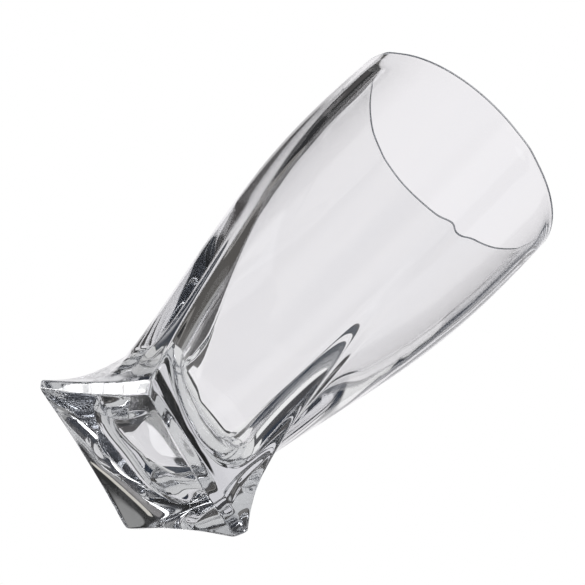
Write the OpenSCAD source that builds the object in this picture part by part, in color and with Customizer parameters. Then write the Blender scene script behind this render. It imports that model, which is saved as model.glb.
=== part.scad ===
// Long-drink water glass: a square foot with four flared toes, whose corners run up as
// twisting ridges and fade into a round, thin-walled mouth. Millimetres, +Z up, origin
// at the middle of the flat underside.

/* [Overall] */
// Height from the underside to the top of the lip
height = 150; // [120:1:180]
// Outside diameter at the lip
rim_d = 76.6; // [66:0.2:84]
// Outside diameter at the widest part of the round wall
belly_d = 77.8; // [70:0.2:86]
// Height of the widest part of the round wall
belly_z = 126; // [105:1:135]

/* [Foot] */
// Distance between opposite toes of the foot, at its widest
foot_toe_d = 79.2; // [70:0.2:86]
// Distance between opposite sides of the foot, at its widest
foot_side_d = 55; // [50:0.2:60]
// Height of the bevel round the underside
bevel_h = 3; // [1:0.1:4]
// How far the bevel steps in at the underside
bevel_in = 2.2; // [1:0.1:3]
// Height of the narrow upright band above the bevel
edge_h = 0.5; // [0.2:0.1:1]
// Height at which the solid foot ends and the cup starts
foot_h = 6; // [5:0.5:8]
// Distance between opposite panels at the waist above the foot
waist_d = 49; // [44:0.2:50]
// Height of the waist
waist_z = 17; // [14:0.5:22]

/* [Ridges] */
// Height at which the ridges have faded into the round wall
ridge_top = 82; // [70:1:95]
// Left-hand turn of the ridges, if they ran on to the lip, in degrees
ridge_turn = 49.5; // [20:0.5:70]
// Half the angle between the two flanks of a ridge at the toes, in degrees
toe_angle = 44; // [36:0.5:48]
// Half the angle between the two flanks where a ridge fades, in degrees
tip_angle = 81; // [70:0.5:88]
// Rounding of the crest at the toes, in degrees round the axis
toe_round = 1.1; // [0.5:0.1:4]
// Rounding of the crest where a ridge fades, in degrees round the axis
tip_round = 2.5; // [1:0.1:6]
// Softness of the line where a ridge meets the panels
ridge_fillet = 0.3; // [0.1:0.1:2]

/* [Cavity] */
// Height of the middle of the cavity floor above the underside
floor_z = 10; // [9:0.2:16]
// Wall thickness just below the lip
lip_wall = 1.6; // [1:0.1:2.4]
// Thickness at the middle of a panel, level with the cavity floor
base_wall = 3.6; // [3:0.1:6]
// Height of the rounding between the cavity floor and its wall
floor_round = 15.6; // [8:0.2:20]
// How far the cavity follows the ridges, as a share of their height
cavity_follow = 0.4; // [0:0.02:0.6]
// Power of the cavity section's curve
cavity_power = 1.9; // [1:0.1:1.9]
// Rounding of the cavity's corners, as a share of the radius
cavity_round = 0.44; // [0.1:0.02:0.6]

/* [Lip] */
// Height of the polished lip
lip_h = 3; // [2:0.5:6]

/* [Hidden] */

// Curve of the flare from the waist down to the foot
foot_flare = 2.05;
// Curve of the wall from the waist up to the belly
wall_swell = 1.42;
// Curves by which the ridges fade, their flanks open and their turn slows down
ridge_fade = 1.68;
angle_rise = 2.65;
turn_slow = 2.4;
// Curve of the ridges' flanks at the toes and at the tips: at 1 they are straight, over 1 they
// are hollow, and under 1 they bulge
toe_hollow = 1.1;
tip_hollow = 0.85;
// Curve by which the wall thins towards the lip
wall_thin = 0.55;
// Curve of the floor's rounding
floor_power = 1.04;

// Points round each section, steps of the loft, and how far points crowd to the crests
sides = 96;
foot_steps = 5;
bowl_steps = 18;
floor_steps = 8;
crowd = 0.6;
// Stock left under the foot, which is ground off flat
grind = 1;
// Points along the revolved walls
wall_steps = 14;
lip_steps = 10;
$fn = 128;

belly_r = belly_d / 2;
rim_r = rim_d / 2;
foot_toe_r = foot_toe_d / 2;
foot_side_r = foot_side_d / 2;
waist_r = waist_d / 2;
lip_z = height - lip_h;
edge_z = bevel_h + edge_h;

// Share of the way from height a to height b, kept between 0 and 1
function share(z, a, b) = min(1, max(0, (z - a) / (b - a)));

// Heights in equal steps
function heights(from, to, steps) = [for (j = [0:steps]) from + (to - from) * j / steps];

// Outside radius at the middle of a panel: flared foot, waist, belly, lip
function flare_r(z) =
  waist_r + (foot_side_r - waist_r) * pow(1 - share(z, edge_z, waist_z), foot_flare);
function swell_r(z) =
  waist_r + (belly_r - waist_r) * pow(sin(90 * share(z, waist_z, belly_z)), wall_swell);
function barrel_r(z) = belly_r - (belly_r - rim_r) * pow(share(z, belly_z, height), 2);
function panel_r(z) = z < waist_z ? flare_r(z) : z < belly_z ? swell_r(z) : barrel_r(z);
function bevel_r(z) = bevel_in * max(0, bevel_h - z) / bevel_h;

// How far the ridges stand out past the panels, and how far they have turned
function ridge(z) =
  (foot_toe_r - foot_side_r) * pow(1 - share(z, edge_z, ridge_top), ridge_fade);
function turn(z) = ridge_turn * (1 - pow(1 - share(z, 0, height), turn_slow));

// A value that runs from the toes to the tips of the ridges
function toe_to_tip(z, toe, tip, p) = toe + (tip - toe) * pow(share(z, edge_z, ridge_top), p);

// The larger of two radii, blended where they are close
function soft_max(a, b, soft) = (a + b + sqrt(pow(a - b, 2) + soft * soft)) / 2;

// Angle from the nearest crest, rounded off at the crest itself
function soft_abs(x, soft) = sqrt(x * x + soft * soft);
function off_crest(a, soft) = soft_abs((a + 45) % 90 - 45, soft) - soft;

// Radius of a round core with four pinched ridges: by the law of sines a flank that leaves
// the crest at half the ridge's angle lies at crest * sin(angle) / sin(angle + off)
function pinched_r(core, stand, angle, hollow, off) =
  let (
    crest = core + stand,
    flank = crest * sin(angle) / sin(min(angle + off, 90)),
    top = soft_max(core, crest, ridge_fillet),
    rise = (soft_max(core, flank, ridge_fillet) - core) / (top - core)
  )
  core + stand * pow(min(1, rise), hollow);

// Corner-to-side form of the cavity: a Lame curve, 1 at the corners and 0 between them
function lame(a) =
  pow(pow(soft_abs(cos(a), cavity_round), cavity_power)
    + pow(soft_abs(sin(a), cavity_round), cavity_power), -1 / cavity_power);
function corner_form(a) = (lame(a) - lame(45)) / (lame(0) - lame(45));

// Angles round a section, crowded towards the four crests
angles = [for (i = [0:sides - 1])
  let (u = 4 * i / sides) 90 * (u - crowd * sin(360 * u) / (2 * PI))];

// A ring of points at one height, from the radius at each angle
function ring(z, radii) =
  [for (i = [0:sides - 1])
    let (b = angles[i] + 45 - turn(z)) [radii[i] * cos(b), radii[i] * sin(b), z]];

function outer_ring(z) =
  let (
    angle = toe_to_tip(z, toe_angle, tip_angle, angle_rise),
    hollow = toe_to_tip(z, toe_hollow, tip_hollow, 1),
    soft = toe_to_tip(z, toe_round, tip_round, 1)
  )
  ring(z, [for (a = angles)
    pinched_r(panel_r(z), ridge(z), angle, hollow, off_crest(a, soft)) - bevel_r(z)]);

// Wall thickness at mid panel, and the cavity's radius with its rounded floor
function wall(z) = lip_wall + (base_wall - lip_wall) * pow(1 - share(z, floor_z, height), wall_thin);
function cavity_r(z) = panel_r(z) - wall(z);
function cavity_ring(z, part) =
  ring(z, [for (a = angles) part * (cavity_r(z) + cavity_follow * ridge(z) * corner_form(a))]);

// The floor's rounding is a flattened quarter ellipse from the middle out to the wall
function floor_height(a) = floor_z + floor_round * (1 - cos(a));
function floor_ring(a) = cavity_ring(floor_height(a), pow(sin(a), floor_power));

// A closed skin over a run of rings, with the first and last ring capped flat
module loft(rings) {
  last = len(rings) - 1;
  around = [for (j = [0:last - 1], i = [0:sides - 1])
    let (a = j * sides + i, b = j * sides + (i + 1) % sides) each [
      [a, a + sides, b],
      [b, a + sides, b + sides]
    ]];
  first_cap = [for (i = [0:sides - 1]) i];
  last_cap = [for (i = [sides - 1:-1:0]) last * sides + i];
  polyhedron([for (r = rings) each r], concat(around, [first_cap, last_cap]), convexity = 8);
}

// Solid foot with flared toes, its underside ground flat
module foot() {
  color("lightcyan", 0.6)
    difference() {
      loft([for (z = concat([-grind, bevel_h], heights(edge_z, foot_h, foot_steps))) outer_ring(z)]);
      translate([-belly_d, -belly_d, -2 * grind])
        cube([2 * belly_d, 2 * belly_d, 2 * grind]);
    }
}

// Cup with its own thick floor, square and ridged below and round at the top
module twisted_bowl() {
  outside = [for (z = heights(foot_h, ridge_top, bowl_steps)) outer_ring(z)];
  inside_wall = [for (z = heights(ridge_top, floor_z + floor_round, bowl_steps)) cavity_ring(z, 1)];
  inside_floor = [for (j = [floor_steps - 1:-1:1]) floor_ring(90 * j / floor_steps)];
  color("lightcyan", 0.5) loft(concat(outside, inside_wall, inside_floor));
}

// Section of a revolved stretch between the outside and the cavity
function wall_section(zs) = concat(
  [for (z = zs) [panel_r(z), z]],
  [for (j = [len(zs) - 1:-1:0]) [cavity_r(zs[j]), zs[j]]]
);

// Round thin wall above the ridges
module upper_wall() {
  color("lightcyan", 0.4) rotate_extrude() polygon(wall_section(heights(ridge_top, lip_z, wall_steps)));
}

// Fire-polished lip with a full round edge
module lip() {
  round_r = lip_wall / 2;
  round_z = height - round_r;
  zs = heights(lip_z, round_z, 2);
  mid_r = panel_r(round_z) - round_r;
  edge = [for (j = [1:lip_steps - 1])
    let (a = 180 * j / lip_steps) [mid_r + round_r * cos(a), round_z + round_r * sin(a)]];
  color("lightcyan", 0.4)
    rotate_extrude()
      polygon(concat(
        [for (z = zs) [panel_r(z), z]],
        edge,
        [for (j = [len(zs) - 1:-1:0]) [cavity_r(zs[j]), zs[j]]]
      ));
}

foot();
twisted_bowl();
upper_wall();
lip();
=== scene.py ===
"""Looks of a clear long-drink tumbler, worked out around its packed solids.

The glass is one closed surface: a flat underside with a bevel, a square foot whose
four toes run up as twisting ridges, a round wall, a flat-edged lip and a rounded cavity.
"""

import math

import bpy
import numpy as np
from bpy.props import FloatProperty, FloatVectorProperty, IntProperty, PointerProperty
from mathutils import Matrix, Vector


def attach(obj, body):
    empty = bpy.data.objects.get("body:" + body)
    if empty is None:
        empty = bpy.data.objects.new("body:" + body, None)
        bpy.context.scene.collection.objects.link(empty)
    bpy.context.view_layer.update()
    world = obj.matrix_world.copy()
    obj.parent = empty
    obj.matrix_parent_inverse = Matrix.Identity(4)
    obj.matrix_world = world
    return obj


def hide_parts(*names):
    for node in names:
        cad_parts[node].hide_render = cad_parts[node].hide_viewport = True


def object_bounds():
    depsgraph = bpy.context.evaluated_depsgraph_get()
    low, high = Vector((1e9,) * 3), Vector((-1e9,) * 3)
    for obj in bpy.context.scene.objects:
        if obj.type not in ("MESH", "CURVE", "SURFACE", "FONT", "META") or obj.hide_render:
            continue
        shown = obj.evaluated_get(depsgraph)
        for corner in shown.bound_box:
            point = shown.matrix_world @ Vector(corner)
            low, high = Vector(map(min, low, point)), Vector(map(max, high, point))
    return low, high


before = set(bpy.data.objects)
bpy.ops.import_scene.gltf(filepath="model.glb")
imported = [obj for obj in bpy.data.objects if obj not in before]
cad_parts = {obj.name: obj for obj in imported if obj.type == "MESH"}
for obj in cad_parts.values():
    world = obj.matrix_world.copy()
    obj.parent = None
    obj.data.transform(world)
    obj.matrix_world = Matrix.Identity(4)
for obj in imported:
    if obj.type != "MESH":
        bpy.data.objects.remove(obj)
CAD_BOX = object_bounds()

bl_info = {
    "name": "Twisted tumbler",
    "version": (1, 0, 0),
    "blender": (4, 5, 0),
    "location": "3D View > Sidebar > Tumbler",
    "description": "Builds a clear tumbler with a square, twisted foot and the studio it stands in",
    "category": "Add Mesh",
}

MM = 0.001
WHITE = (1.0, 1.0, 1.0)

# Rows in each stretch of the glass's profile, at a fineness of 1
UNDERSIDE_ROWS = 5
BEVEL_ROWS = (4, 11, 5, 15)
FOOT_ROWS = 22
RIDGE_ROWS = 46
WALL_ROWS = 28
LIP_ROWS = 15
CAVITY_ROWS = 56
FLOOR_ROWS = 22
# How far columns crowd towards the crests, where 0 is evenly spaced
CROWD = 0.6
# Waves of the inside ripple: how often each goes round, its radians per metre of height, and its start
RIPPLE_WAVES = ((3, 410, 2.1), (5, 240, 0.0), (8, -310, 1.3))

# Share of the height that counts for the flow noise, which draws it out, and the noise levels
# between which a streak comes up
STREAK_STRETCH = 0.06
STREAK_NOISE = (0.5, 0.75)

# Rings and spokes of the floor, the shares of its radius between which it fades, and its grain
FLOOR_RINGS = 24
FLOOR_SPOKES = 96
FLOOR_FADE = (0.25, 0.95)
FLOOR_ROUGHNESS = 0.6
GRAIN_SCALE = 60.0
GRAIN_DARK = 0.985
# Rises of a direction between which the floor gives way to the room
HORIZON = (-0.06, 0.02)
# Place and diameter of the soft box, in metres
LAMP_PLACE = Vector((0.2, -0.1, 1.2))
LAMP_SIZE = 0.8
# Light goes to and fro many times in the thick foot
BOUNCES = 96
# How far the camera sees, in metres
VIEW_REACH = 50.0

# Cards round the studio, later ones over earlier ones: name, azimuth, elevation, half width, half
# height and softness in degrees, and tone. Light that crosses the glass comes from the first
# layer, and light that it mirrors from the second.
STUDIO_CARDS = {
    "through": [
        ("grey wall", 290, 25, 42, 25, 8, (0.35, 0.35, 0.35)),
        ("dim wall", 217, 17, 25, 12, 6, (0.10, 0.095, 0.09)),
        ("slit in the dim wall", 210, 17, 2, 12, 2, (0.25, 0.24, 0.23)),
        ("black strip", 202.5, 22, 4.5, 10, 1.5, (0.03, 0.03, 0.03)),
        ("blue-black screen", 112, 37, 15, 13.5, 1.5, (0.03, 0.04, 0.06)),
        ("white panel", 114, 12, 21, 9.5, 1, (0.9, 0.9, 0.9)),
        ("black ceiling", 125, 66, 34, 6, 5, (0.03, 0.03, 0.03)),
        ("ceiling glow", 90, 76, 5, 2.5, 2, (0.32, 0.31, 0.31)),
        ("ceiling slit", 111, 70.3, 2.5, 0.8, 0.8, (0.75, 0.72, 0.66)),
        ("ceiling patch", 130, 61, 3, 3.5, 1.5, (0.3, 0.3, 0.3)),
        ("blue-black side", 0, 52, 22, 14, 6, (0.05, 0.055, 0.07)),
        ("white side", 45, 28, 16, 16, 5, (0.95, 0.95, 0.95)),
        ("dark jamb", 184, 27, 10, 12, 2, (0.08, 0.075, 0.075)),
        ("window", 154, 26, 18.5, 24, 1.5, (0.94, 0.925, 0.948)),
        ("window corner", 172, 9, 15, 7, 2, (0.94, 0.925, 0.948)),
        ("black sill", 165, -5, 26, 5.5, 1.5, (0.02, 0.02, 0.02)),
    ],
    "mirrored": [
        ("mirrored window", 144, 26, 27, 28, 5, (0.925, 0.913, 0.932)),
        ("mirrored lamp", 213, -9, 14, 12, 3, (9.0, 9.0, 9.0)),
        ("mirrored strip", 0, 40, 6, 40, 10, (0.7, 0.7, 0.7)),
    ],
}


def length(label, text, millimetres):
    """A size property in metres, written in millimetres."""
    return FloatProperty(name=label, description=text, default=millimetres * MM, unit="LENGTH", precision=5)


def number(label, text, value):
    """A plain number property."""
    return FloatProperty(name=label, description=text, default=value, precision=4)


def angle(label, text, degrees):
    """An angle property, written in degrees."""
    return FloatProperty(name=label, description=text, default=math.radians(degrees), subtype="ANGLE")


def colour(label, text, rgb):
    """A linear colour property."""
    return FloatVectorProperty(name=label, description=text, default=rgb, subtype="COLOR", min=0.0, max=1.0)


class TumblerSizes(bpy.types.PropertyGroup):
    """Sizes of the glass."""

    height: FloatProperty(
        name="Height",
        description="From the underside to the top of the lip",
        default=CAD_BOX[1].z,
        unit="LENGTH",
    )
    rim_d: length("Lip diameter", "Outside diameter at the lip", 76.6)
    belly_d: length("Belly diameter", "Outside diameter at the widest part of the round wall", 77.8)
    belly_z: length("Belly height", "Height of the widest part of the round wall", 126.5)
    foot_toe_d: length("Across toes", "Distance between opposite toes of the foot", 79.2)
    foot_side_d: length("Across sides", "Distance between opposite sides of the foot", 55)
    bevel_h: length("Bevel height", "Height of the bevel round the underside", 3)
    bevel_in: length("Bevel depth", "How far the bevel steps in at the underside", 2.2)
    edge_h: length("Edge band", "Height of the narrow upright band above the bevel", 0.5)
    edge_soft: length("Edge softness", "Rounding of the bevel's two edges", 0.4)
    waist_d: length("Waist", "Distance between opposite panels at the waist", 49)
    waist_z: length("Waist height", "Height of the waist above the underside", 17)
    foot_flare: number("Foot flare", "Curve of the flare from the waist down to the foot", 2.05)
    wall_swell: number("Wall swell", "Curve of the wall from the waist up to the belly", 1.42)
    ridge_top: length("Ridge top", "Height at which the ridges have faded to a crease", 82)
    crease: length("Crease", "How far the crease stands out that carries each ridge on to the lip", 0.45)
    ridge_fade: number("Ridge fade", "Curve by which the ridges fade", 1.68)
    ridge_turn: angle("Ridge turn", "Turn of the ridges from the underside to the lip", 49.5)
    turn_slow: number("Turn slowing", "Curve by which the turn slows towards the lip", 2.4)
    toe_angle: angle("Toe angle", "Half the angle between the flanks of a toe", 44)
    tip_angle: angle("Tip angle", "Half the angle between the flanks of a crease", 81)
    angle_rise: number("Angle rise", "Curve by which the flanks open from toe to crease", 2.65)
    toe_round: angle("Toe rounding", "Rounding of the toes, as an angle at the axis", 1.1)
    tip_round: angle("Crease rounding", "Rounding of the creases, as an angle at the axis", 2.5)
    toe_fillet: length("Toe fillet", "Softness where flanks meet panels at the foot", 0.3)
    tip_fillet: length("Crease fillet", "Softness where flanks meet panels at the crease", 0.1)
    toe_hollow: number("Toe hollow", "Power of the toes' flanks: over 1 hollow, under 1 full", 1.1)
    tip_hollow: number("Crease hollow", "Power of the creases' flanks: over 1 hollow, under 1 full", 0.84)
    floor_z: length("Cavity floor", "Height of the middle of the cavity floor", 10)
    floor_round: length("Floor rounding", "Height of the rounding from floor to cavity wall", 15.7)
    floor_power: number("Floor fullness", "Curve of the floor's rounding", 1.04)
    lip_wall: length("Lip wall", "Wall thickness just below the lip", 1.55)
    base_wall: length("Base wall", "Panel thickness level with the cavity floor", 3.6)
    wall_thin: number("Wall thinning", "Curve by which the wall thins towards the lip", 0.55)
    cavity_follow: number("Cavity follow", "Share of the ridges that the cavity follows", 0.41)
    cavity_top: length("Cavity top", "Height at which the cavity no longer follows the ridges", 100)
    cavity_lag: angle("Cavity lag", "Turn of the cavity's corners behind the ridges", 1.5)
    cavity_power: number("Cavity power", "Power of the cavity section's curve", 1.9)
    cavity_round: number("Cavity rounding", "Rounding of the cavity's corners", 0.43)
    inner_rib: length("Inner rib", "How far the wall thickens inwards behind each crease at the lip", 1.1)
    ripple: length("Inside ripple", "Height of the faint ripples that pressing leaves inside", 0.008)
    lip_edge: length("Lip edge", "Thickness of the edge of the lip", 2.2)
    lip_square: number("Lip squareness", "Power of the lip's edge: 2 is round, more is flatter on top", 6.0)
    lip_blend: length("Lip blend", "Height over which the cavity takes up the lip's own edge", 6)
    around: IntProperty(name="Columns", description="Points round the glass", default=432, min=48)
    fineness: number("Rows", "Fineness of the rows up the profile", 1.0)


class TumblerFinish(bpy.types.PropertyGroup):
    """Finish of the glass."""

    ior: number("Refraction", "Index of refraction", 1.52)
    clear: colour("Clear colour", "Colour of the clear glass", WHITE)
    streaks: number("Flow lines", "Scale of the noise that makes the flow lines", 90.0)
    streak_tint: colour("Flow line colour", "Colour of the faint flow lines", (0.985, 0.988, 0.992))
    streak_haze: number("Flow line haze", "Roughness of the flow lines", 0.006)
    body_tint: colour("Body colour", "Colour that thick glass takes on", (0.32, 0.345, 0.4))
    body_density: number("Body density", "How fast thick glass takes on its colour, per metre", 10.0)


class StudioLook(bpy.types.PropertyGroup):
    """Floor, backdrop, lamp and camera."""

    floor_colour: colour("Floor", "Colour of the floor", (0.86, 0.86, 0.86))
    floor_radius: length("Floor radius", "Radius of the floor", 1200)
    floor_gap: length("Floor gap", "Gap between the underside and the floor", 0.3)
    floor_glow: colour("Floor through glass", "Tone of the floor through the glass", (0.78, 0.78, 0.78))
    room_tone: colour("Room through glass", "Tone of the room through the glass", (0.07, 0.07, 0.075))
    dark_side: colour("Mirrored room", "Tone of the room as mirrored by the glass", (0.05, 0.05, 0.05))
    room_light: number("Room light", "Strength of the soft light from all round", 0.75)
    key_light: number("Key light", "Power of the overhead soft box in watts", 6.0)
    view_azimuth: angle("View azimuth", "Turn of the camera round the glass", 63.33)
    view_elevation: angle("View elevation", "Height of the camera above the horizon", -28.24)
    view_roll: angle("View roll", "Roll of the camera", 45.8)
    view_distance: length("View distance", "Distance of the camera from the glass", 2500)
    view_centre: FloatVectorProperty(
        name="Frame centre",
        description="Offset of the frame's centre from the glass's middle, along the frame's sides",
        default=(-1.5 * MM, 4.0 * MM),
        size=2,
        unit="LENGTH",
    )
    lens: number("Lens", "Focal length in millimetres", 515)


def share(z, low, high):
    """Share of the way from low to high, kept between 0 and 1."""
    return np.clip((z - low) / (high - low), 0.0, 1.0)


def soft_max(a, b, width):
    """The larger of two values, blended where they are within about width."""
    return 0.5 * (a + b + np.sqrt((a - b) ** 2 + width * width))


def soft_min(a, b, width):
    """The smaller of two values, blended where they are within about width."""
    return 0.5 * (a + b - np.sqrt((a - b) ** 2 + width * width))


def panel_radius(z, s):
    """Radius at mid panel: a power curve flares from waist to foot, a sine power swells from
    waist to belly, and a parabola draws in from belly to lip."""
    foot, waist, belly, rim = s.foot_side_d / 2, s.waist_d / 2, s.belly_d / 2, s.rim_d / 2
    flare = waist + (foot - waist) * (1 - share(z, s.bevel_h + s.edge_h, s.waist_z)) ** s.foot_flare
    rise = np.sin(math.pi / 2 * share(z, s.waist_z, s.belly_z))
    swell = waist + (belly - waist) * rise**s.wall_swell
    barrel = belly - (belly - rim) * share(z, s.belly_z, s.height) ** 2
    return np.where(z < s.waist_z, flare, np.where(z < s.belly_z, swell, barrel))


def ridge_stand(z, s):
    """How far a ridge stands past the panels: a power curve from the toe down to the crease."""
    full = (s.foot_toe_d - s.foot_side_d) / 2 - s.crease
    return s.crease + full * (1 - share(z, s.bevel_h + s.edge_h, s.ridge_top)) ** s.ridge_fade


def ridge_turn(z, s):
    """Turn of the section: it starts fast at the underside and slows by a power of the height left."""
    return s.ridge_turn * (1 - (1 - share(z, 0, s.height)) ** s.turn_slow)


def toe_to_tip(z, toe, tip, s, power=1.0):
    """A value that runs from the toes to the top of the ridges along a power of the height."""
    return toe + (tip - toe) * share(z, s.bevel_h + s.edge_h, s.ridge_top) ** power


def pinched_section(around, core, crest, half_angle, rounding, fillet, hollow):
    """Radius of a round core with four pinched edges. By the law of sines the flank of an edge
    lies at crest * sin(half angle) / sin(half angle + angle from the crest); the larger of core
    and flank is taken, softened by the fillet, and its rise from core to crest is raised to a
    power, which hollows the flanks or fills them out."""
    quarter = math.pi / 2
    off_crest = np.abs((around + quarter / 2) % quarter - quarter / 2)
    off_crest = np.sqrt(off_crest**2 + rounding**2) - rounding
    flank = crest * np.sin(half_angle) / np.sin(np.minimum(half_angle + off_crest, quarter))
    top = soft_max(core, crest, fillet)
    rise = np.clip((soft_max(core, flank, fillet) - core) / (top - core), 0, 1)
    return core + (crest - core) * rise**hollow


def superellipse_crest(around, power, rounding):
    """Four-cornered superellipse (|cos|^power + |sin|^power)^(-1 / power), with each term rounded near 0
    and the whole scaled to 1 at its corners and 0 half way between them."""

    def reach(a):
        c = np.sqrt(np.cos(a) ** 2 + rounding**2)
        d = np.sqrt(np.sin(a) ** 2 + rounding**2)
        return (c**power + d**power) ** (-1 / power)

    low, high = reach(math.pi / 4), reach(0.0)
    return (reach(around) - low) / (high - low)


def cavity_section(around, z, s):
    """Radius of the cavity: the panel less the wall, which thins by a power of the height left,
    plus a soft four-cornered swell that follows a share of the ridges and gives way, towards the
    lip, to a rib behind each crease."""
    rise = share(z, s.floor_z, s.height)
    wall = s.lip_wall + (s.base_wall - s.lip_wall) * (1 - rise) ** s.wall_thin
    follow = (1 - share(z, s.bevel_h + s.edge_h, s.cavity_top)) ** s.ridge_fade
    swell = s.cavity_follow * (s.foot_toe_d - s.foot_side_d) / 2 * follow - s.inner_rib * rise
    corners = superellipse_crest(around + s.cavity_lag, s.cavity_power, s.cavity_round)
    return panel_radius(z, s) - wall + swell * corners


def inside_ripple(around, z, s):
    """Faint ripples on the inside: a sum of three sines that run round and up at different slants."""
    return s.ripple * sum(np.sin(turns * around + rise * z + start) for turns, rise, start in RIPPLE_WAVES)


def steps(stops, s):
    """Heights or angles in runs of equal steps: pairs of a value to start from and a number of
    steps, with the last value, whose number isn't used, at the end."""
    runs = [
        np.linspace(low, high, max(2, round(count * s.fineness)), endpoint=False)
        for (low, count), (high, _) in zip(stops, stops[1:])
    ]
    return np.concatenate([*runs, [stops[-1][0]]])[:, None]


def tumbler_rows(around, s):
    """Radius and height of every row, from the middle of the underside, over the bevel, up the
    outside, over the lip and down the cavity to its floor. The bevel is a straight chamfer whose
    two edges are softened, with rows close together there; the lip is half a superellipse; the
    floor is nearly a quarter ellipse."""
    edge = s.lip_edge / 2
    edge_z = s.height - edge
    soft = s.edge_soft
    bevel_levels = (-5 * soft, -1.5 * soft, 1.5 * soft, s.bevel_h - 3 * soft)
    stops = [
        *zip(bevel_levels, BEVEL_ROWS),
        (s.bevel_h + 1.5 * soft, FOOT_ROWS),
        (s.waist_z, RIDGE_ROWS),
        (s.ridge_top, WALL_ROWS),
        (edge_z, 0),
    ]
    level = steps(stops, s)
    z = soft_max(level, 0, soft)
    core = panel_radius(z, s)
    section = pinched_section(
        around,
        core,
        core + ridge_stand(z, s),
        toe_to_tip(z, s.toe_angle, s.tip_angle, s, s.angle_rise),
        toe_to_tip(z, s.toe_round, s.tip_round, s),
        toe_to_tip(z, s.toe_fillet, s.tip_fillet, s),
        toe_to_tip(z, s.toe_hollow, s.tip_hollow, s),
    )
    chamfer = s.foot_side_d / 2 - s.bevel_in * (1 - level / s.bevel_h)
    outside = section - (core - soft_min(chamfer, core, soft))
    out_from_middle = steps([(0, UNDERSIDE_ROWS), (1, 0)], s)[1:-1]
    underside = out_from_middle * outside[:1]
    over = steps([(0, LIP_ROWS), (math.pi, 0)], s)[1:-1]
    flatness = 2 / s.lip_square
    lip = outside[-1:] - edge + edge * np.sign(np.cos(over)) * np.abs(np.cos(over)) ** flatness
    lip_z = edge_z + edge * np.sin(over) ** flatness
    down = steps([(edge_z, CAVITY_ROWS), (s.floor_z + s.floor_round, 0)], s)
    inside = cavity_section(around, down, s) + inside_ripple(around, down, s)
    inside += (outside[-1:] - s.lip_edge - inside) * share(down, s.height - s.lip_blend, edge_z)
    tilt = steps([(math.pi / 2, FLOOR_ROWS), (0, 0)], s)[1:-1]
    sink = s.floor_z + s.floor_round * (1 - np.cos(tilt))
    floor = np.sin(tilt) ** s.floor_power * cavity_section(around, sink, s)
    radius = np.concatenate([underside, outside, lip, inside, floor])
    height = np.concatenate([0 * out_from_middle + z[0], z, lip_z, down, sink])
    return radius, height


def ring_quads(rows, columns):
    """Quads between each ring of points and the next, with every ring closed."""
    j, i = np.meshgrid(np.arange(rows - 1), np.arange(columns), indexing="ij")
    k = (i + 1) % columns
    corners = [j * columns + i, j * columns + k, (j + 1) * columns + k, (j + 1) * columns + i]
    return np.stack(corners, -1).reshape(-1, 4)


def fan(pole, first, columns):
    """Triangles from a pole to the ring that starts at point number first."""
    i = np.arange(columns)
    return np.stack([0 * i + pole, first + i, first + (i + 1) % columns], -1)


def tumbler_surface(s):
    """Points and faces of the closed glass. Columns crowd towards the crests by a sine, and each
    row turns with its height. Flow points unwind the turn, so that streaks run up the ridges."""
    quarters = np.arange(s.around) / s.around * 4
    shift = CROWD / (2 * math.pi) * np.sin(2 * math.pi * quarters)
    around = (math.pi / 2 * (quarters - shift))[None]
    radius, height = tumbler_rows(around, s)
    bearing = around + math.pi / 4 - ridge_turn(height, s)
    high = height + 0 * radius
    points = np.stack([radius * np.cos(bearing), radius * np.sin(bearing), high], -1)
    flow = np.stack([radius * np.cos(around), radius * np.sin(around), high], -1)
    poles = np.array([[0, 0, height[0, 0]], [0, 0, s.floor_z]])
    points = np.concatenate([points.reshape(-1, 3), poles])
    flow = np.concatenate([flow.reshape(-1, 3), poles])
    rows, columns = radius.shape
    under_pole, floor_pole = rows * columns, rows * columns + 1
    under_fan = fan(under_pole, 0, columns)[:, ::-1]
    floor_fan = fan(floor_pole, (rows - 1) * columns, columns)
    return points, flow, [*ring_quads(rows, columns).tolist(), *under_fan.tolist(), *floor_fan.tolist()]


def new_object(context, name, points, faces, material):
    """A mesh object at the origin, with its place in its mesh."""
    mesh = bpy.data.meshes.new(name)
    mesh.from_pydata(points, [], faces)
    mesh.materials.append(material)
    mesh.update()
    piece = bpy.data.objects.new(name, mesh)
    context.scene.collection.objects.link(piece)
    return piece


def opaque(rgb):
    """A colour with full alpha."""
    return (*rgb, 1.0)


def add(tree, kind, links=(), **values):
    """A node with its settings, and links or values for its inputs by name or number."""
    node = tree.nodes.new(kind)
    for key, value in values.items():
        setattr(node, key, value)
    for key, value in dict(links).items():
        if isinstance(value, bpy.types.NodeSocket):
            tree.links.new(value, node.inputs[key])
        else:
            node.inputs[key].default_value = value
    return node


def calculate(tree, operation, *values):
    """Result of a Math node."""
    return add(tree, "ShaderNodeMath", dict(enumerate(values)), operation=operation).outputs[0]


def mix_colours(tree, factor, first, second):
    """Result of a colour Mix node, where inputs 6 and 7 are the colours and output 2 is the result."""
    return add(tree, "ShaderNodeMix", {0: factor, 6: first, 7: second}, data_type="RGBA").outputs[2]


def ramp(tree, value, low, high, start=0.0, end=1.0, interpolation="LINEAR"):
    """Result of a Map Range node, which runs from start to end as the value goes from low to high."""
    inputs = dict(enumerate([value, low, high, start, end]))
    return add(tree, "ShaderNodeMapRange", inputs, interpolation_type=interpolation).outputs[0]


def new_group(name, inputs, output):
    """An empty shader group with inputs by name and type and one number as its output."""
    group = bpy.data.node_groups.new(name, "ShaderNodeTree")
    for label, kind in inputs.items():
        group.interface.new_socket(label, in_out="INPUT", socket_type=kind)
    group.interface.new_socket(output, in_out="OUTPUT", socket_type="NodeSocketFloat")
    return group, group.nodes.new("NodeGroupInput").outputs, group.nodes.new("NodeGroupOutput").inputs


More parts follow.
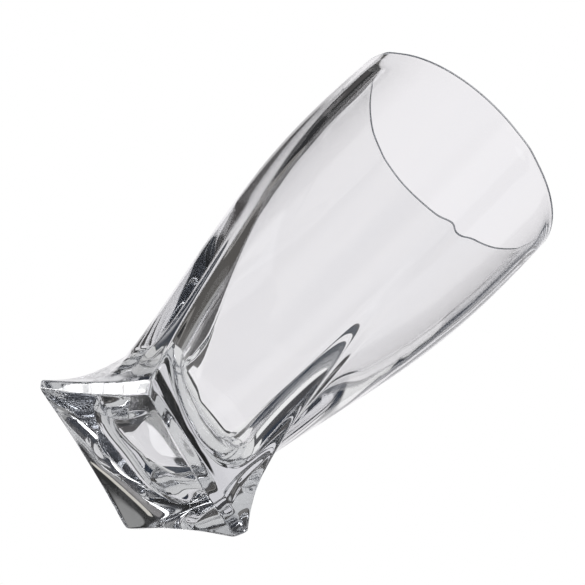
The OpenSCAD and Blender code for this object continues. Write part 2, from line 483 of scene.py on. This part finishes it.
def flow_lines_group():
    """Faint streaks along the flow of the glass: noise drawn out up the ridges."""
    inputs = {"Flow": "NodeSocketVector", "Streaks": "NodeSocketFloat"}
    group, given, result = new_group("flow_lines", inputs, "Streak")
    stretch = (1, 1, STREAK_STRETCH)
    drawn = add(group, "ShaderNodeVectorMath", {0: given["Flow"], 1: stretch}, operation="MULTIPLY")
    noise = add(group, "ShaderNodeTexNoise", {"Vector": drawn.outputs[0], "Scale": given["Streaks"]})
    group.links.new(ramp(group, noise.outputs["Fac"], *STREAK_NOISE), result["Streak"])
    return group


def clear_glass(finish):
    """Polished clear glass with faint flow lines, and a slight body colour in thick places."""
    material = bpy.data.materials.new("clear_glass")
    material.use_nodes = True
    tree = material.node_tree
    shader = tree.nodes["Principled BSDF"].inputs
    shader["IOR"].default_value = finish.ior
    shader["Transmission Weight"].default_value = 1.0
    shader["Metallic"].default_value = 0.0
    flow = add(tree, "ShaderNodeAttribute", attribute_name="flow").outputs["Vector"]
    lines = add(
        tree,
        "ShaderNodeGroup",
        {"Flow": flow, "Streaks": finish.streaks},
        node_tree=flow_lines_group(),
    )
    streak = lines.outputs["Streak"]
    tint = mix_colours(tree, streak, opaque(finish.clear), opaque(finish.streak_tint))
    tree.links.new(tint, shader["Base Color"])
    tree.links.new(ramp(tree, streak, 0.0, 1.0, 0.0, finish.streak_haze), shader["Roughness"])
    absorbed = {"Color": opaque(finish.body_tint), "Density": finish.body_density}
    body = add(tree, "ShaderNodeVolumeAbsorption", absorbed)
    tree.links.new(body.outputs[0], tree.nodes["Material Output"].inputs["Volume"])
    return material


class TUMBLER_OT_glass(bpy.types.Operator):
    """Make the glass as one closed surface in place of the packed solids"""

    bl_idname = "tumbler.glass"
    bl_label = "Glass"

    def execute(self, context):
        points, flow, faces = tumbler_surface(context.scene.tumbler_sizes)
        glass = new_object(context, "tumbler", points, faces, clear_glass(context.scene.tumbler_finish))
        mesh = glass.data
        mesh.attributes.new("flow", "FLOAT_VECTOR", "POINT").data.foreach_set("vector", flow.ravel())
        mesh.polygons.foreach_set("use_smooth", np.ones(len(faces), bool))
        mesh.update()
        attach(glass, "root")
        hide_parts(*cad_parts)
        return {"FINISHED"}


def pale_floor(look):
    """Pale floor that fades out to the backdrop, and can't be seen from below."""
    material = bpy.data.materials.new("pale_floor")
    material.use_nodes = True
    tree = material.node_tree
    shader = tree.nodes["Principled BSDF"]
    shader.inputs["Roughness"].default_value = FLOOR_ROUGHNESS
    place = add(tree, "ShaderNodeTexCoord").outputs["Object"]
    grain = add(tree, "ShaderNodeTexNoise", {"Vector": place, "Scale": GRAIN_SCALE}).outputs["Fac"]
    dark = [GRAIN_DARK * c for c in look.floor_colour]
    tone = mix_colours(tree, grain, opaque(dark), opaque(look.floor_colour))
    tree.links.new(tone, shader.inputs["Base Color"])
    away = add(tree, "ShaderNodeVectorMath", {0: place}, operation="LENGTH").outputs["Value"]
    near, far = (part * look.floor_radius for part in FLOOR_FADE)
    fade = ramp(tree, away, near, far, interpolation="SMOOTHSTEP")
    below = add(tree, "ShaderNodeNewGeometry").outputs["Backfacing"]
    gone = calculate(tree, "MAXIMUM", fade, below)
    clear = add(tree, "ShaderNodeBsdfTransparent")
    mix = add(tree, "ShaderNodeMixShader", {0: gone, 1: shader.outputs[0], 2: clear.outputs[0]})
    tree.links.new(mix.outputs[0], tree.nodes["Material Output"].inputs["Surface"])
    return material


def make_floor(context, look):
    """A disc worked out on a polar grid, just under the glass."""
    radius = look.floor_radius * np.linspace(0, 1, FLOOR_RINGS + 1)[1:, None]
    bearing = np.arange(FLOOR_SPOKES)[None] / FLOOR_SPOKES * 2 * math.pi
    rings = np.stack([radius * np.cos(bearing), radius * np.sin(bearing), 0 * radius * bearing], -1)
    points = np.concatenate([rings.reshape(-1, 3), [[0, 0, 0]]]) - [0, 0, look.floor_gap]
    quads = ring_quads(FLOOR_RINGS, FLOOR_SPOKES)[:, ::-1]
    middle = fan(FLOOR_RINGS * FLOOR_SPOKES, 0, FLOOR_SPOKES)
    floor = new_object(context, "floor", points, [*quads.tolist(), *middle.tolist()], pale_floor(look))
    floor.visible_glossy = False
    floor.visible_transmission = False


def direction_at(azimuth, elevation):
    """Direction at an azimuth, counted from +X towards +Y, and an elevation, both in radians."""
    level = math.cos(elevation)
    return Vector((math.cos(azimuth) * level, math.sin(azimuth) * level, math.sin(elevation)))


def studio_card_group():
    """Mask of a soft-edged rectangle on the sky, by the angles that a direction lies across and up it."""
    inputs = {
        "Direction": "NodeSocketVector",
        "Facing": "NodeSocketVector",
        "Across": "NodeSocketVector",
        "Up": "NodeSocketVector",
        "Width": "NodeSocketFloat",
        "Height": "NodeSocketFloat",
        "Softness": "NodeSocketFloat",
    }
    group, given, result = new_group("studio_card", inputs, "Mask")

    def along(axis):
        pair = {0: given["Direction"], 1: given[axis]}
        return add(group, "ShaderNodeVectorMath", pair, operation="DOT_PRODUCT").outputs["Value"]

    ahead = along("Facing")
    inside = []
    for axis, reach in (("Across", "Width"), ("Up", "Height")):
        bearing = calculate(group, "ARCTAN2", along(axis), ahead)
        past = calculate(group, "SUBTRACT", calculate(group, "ABSOLUTE", bearing), given[reach])
        inside.append(ramp(group, past, 0.0, given["Softness"], 1.0, 0.0, "SMOOTHSTEP"))
    group.links.new(calculate(group, "MULTIPLY", *inside), result["Mask"])
    return group


def make_studio(context, look):
    """White to the camera and plain soft light on the floor. Light that crosses the glass or is
    mirrored by it comes from a dim room with light and dark cards."""
    world = bpy.data.worlds.new("studio")
    context.scene.world = world
    world.use_nodes = True
    tree = world.node_tree
    direction = add(tree, "ShaderNodeTexCoord").outputs["Generated"]
    rise = add(tree, "ShaderNodeSeparateXYZ", {0: direction}).outputs["Z"]
    above = ramp(tree, rise, *HORIZON, interpolation="SMOOTHSTEP")
    layers = {
        "through": mix_colours(tree, above, opaque(look.floor_glow), opaque(look.room_tone)),
        "mirrored": opaque(look.dark_side),
    }
    group = studio_card_group()
    for layer, cards in STUDIO_CARDS.items():
        for name, azimuth, elevation, half_width, half_height, softness, tone in cards:
            facing = direction_at(math.radians(azimuth), math.radians(elevation))
            across = Vector((0, 0, 1)).cross(facing).normalized()
            inputs = {
                "Direction": direction,
                "Facing": facing,
                "Across": across,
                "Up": facing.cross(across),
                "Width": math.radians(half_width),
                "Height": math.radians(half_height),
                "Softness": math.radians(softness),
            }
            card = add(tree, "ShaderNodeGroup", inputs, node_tree=group, label=name)
            layers[layer] = mix_colours(tree, card.outputs["Mask"], layers[layer], opaque(tone))
    rays = add(tree, "ShaderNodeLightPath").outputs
    shade = opaque([look.room_light] * 3)
    for ray, seen in (
        ("Is Glossy Ray", layers["mirrored"]),
        ("Is Transmission Ray", layers["through"]),
        ("Is Camera Ray", opaque(WHITE)),
    ):
        shade = mix_colours(tree, rays[ray], shade, seen)
    tree.links.new(shade, tree.nodes["Background"].inputs["Color"])


def make_lamp(context, look):
    """One soft box overhead, which gives the floor its soft shadow."""
    lamp = bpy.data.lights.new("overhead_soft_box", "AREA")
    lamp.shape = "DISK"
    lamp.size = LAMP_SIZE
    lamp.energy = look.key_light
    box = bpy.data.objects.new("overhead_soft_box", lamp)
    box.location = LAMP_PLACE
    box.rotation_euler = (-LAMP_PLACE).to_track_quat("-Z", "Y").to_euler()
    box.visible_camera = False
    box.visible_glossy = False
    context.scene.collection.objects.link(box)


def make_camera(context, look, sizes):
    """Long-lens camera that looks up at the foot, rolled so that the glass leans across the frame.
    Its azimuth is 0 where it looks along +Y."""
    back = direction_at(look.view_azimuth - math.pi / 2, look.view_elevation)
    level = Vector((0, 0, 1)).cross(back).normalized()
    upright = back.cross(level)
    right = level * math.cos(look.view_roll) + upright * math.sin(look.view_roll)
    up = upright * math.cos(look.view_roll) - level * math.sin(look.view_roll)
    middle = Vector((0, 0, sizes.height / 2))
    eye = middle + back * look.view_distance + right * look.view_centre[0] + up * look.view_centre[1]
    data = bpy.data.cameras.new("photo_view")
    data.lens = look.lens
    data.clip_end = VIEW_REACH
    camera = bpy.data.objects.new("photo_view", data)
    turned = Matrix((right, up, back)).transposed().to_4x4()
    camera.matrix_world = Matrix.Translation(eye) @ turned
    context.scene.collection.objects.link(camera)
    context.scene.camera = camera


class TUMBLER_OT_stage(bpy.types.Operator):
    """Make the floor, the backdrop, the lamp and the camera"""

    bl_idname = "tumbler.stage"
    bl_label = "Studio"

    def execute(self, context):
        scene = context.scene
        make_floor(context, scene.tumbler_studio)
        make_studio(context, scene.tumbler_studio)
        make_lamp(context, scene.tumbler_studio)
        make_camera(context, scene.tumbler_studio, scene.tumbler_sizes)
        scene.view_settings.view_transform = "Standard"
        scene.cycles.max_bounces = BOUNCES
        scene.cycles.transmission_bounces = BOUNCES
        scene.cycles.glossy_bounces = BOUNCES
        return {"FINISHED"}


class TUMBLER_PT_panel(bpy.types.Panel):
    """Lists the steps and their settings"""

    bl_idname = "TUMBLER_PT_panel"
    bl_label = "Tumbler"
    bl_space_type = "VIEW_3D"
    bl_region_type = "UI"
    bl_category = "Tumbler"

    def draw(self, context):
        for step in (TUMBLER_OT_stage, TUMBLER_OT_glass):
            self.layout.operator(step.bl_idname)
        for name, group in GROUPS.items():
            column = self.layout.column()
            column.label(text=group.__doc__)
            for key in group.__annotations__:
                column.prop(getattr(context.scene, name), key)


GROUPS = {
    "tumbler_sizes": TumblerSizes,
    "tumbler_finish": TumblerFinish,
    "tumbler_studio": StudioLook,
}
CLASSES = (*GROUPS.values(), TUMBLER_OT_stage, TUMBLER_OT_glass, TUMBLER_PT_panel)


def register():
    for cls in CLASSES:
        bpy.utils.register_class(cls)
    for name, group in GROUPS.items():
        setattr(bpy.types.Scene, name, PointerProperty(type=group))


def unregister():
    for name in GROUPS:
        delattr(bpy.types.Scene, name)
    for cls in reversed(CLASSES):
        bpy.utils.unregister_class(cls)


def main():
    """Register and run the steps in order."""
    register()
    bpy.ops.tumbler.stage()
    bpy.ops.tumbler.glass()


if __name__ == "__main__":
    main()
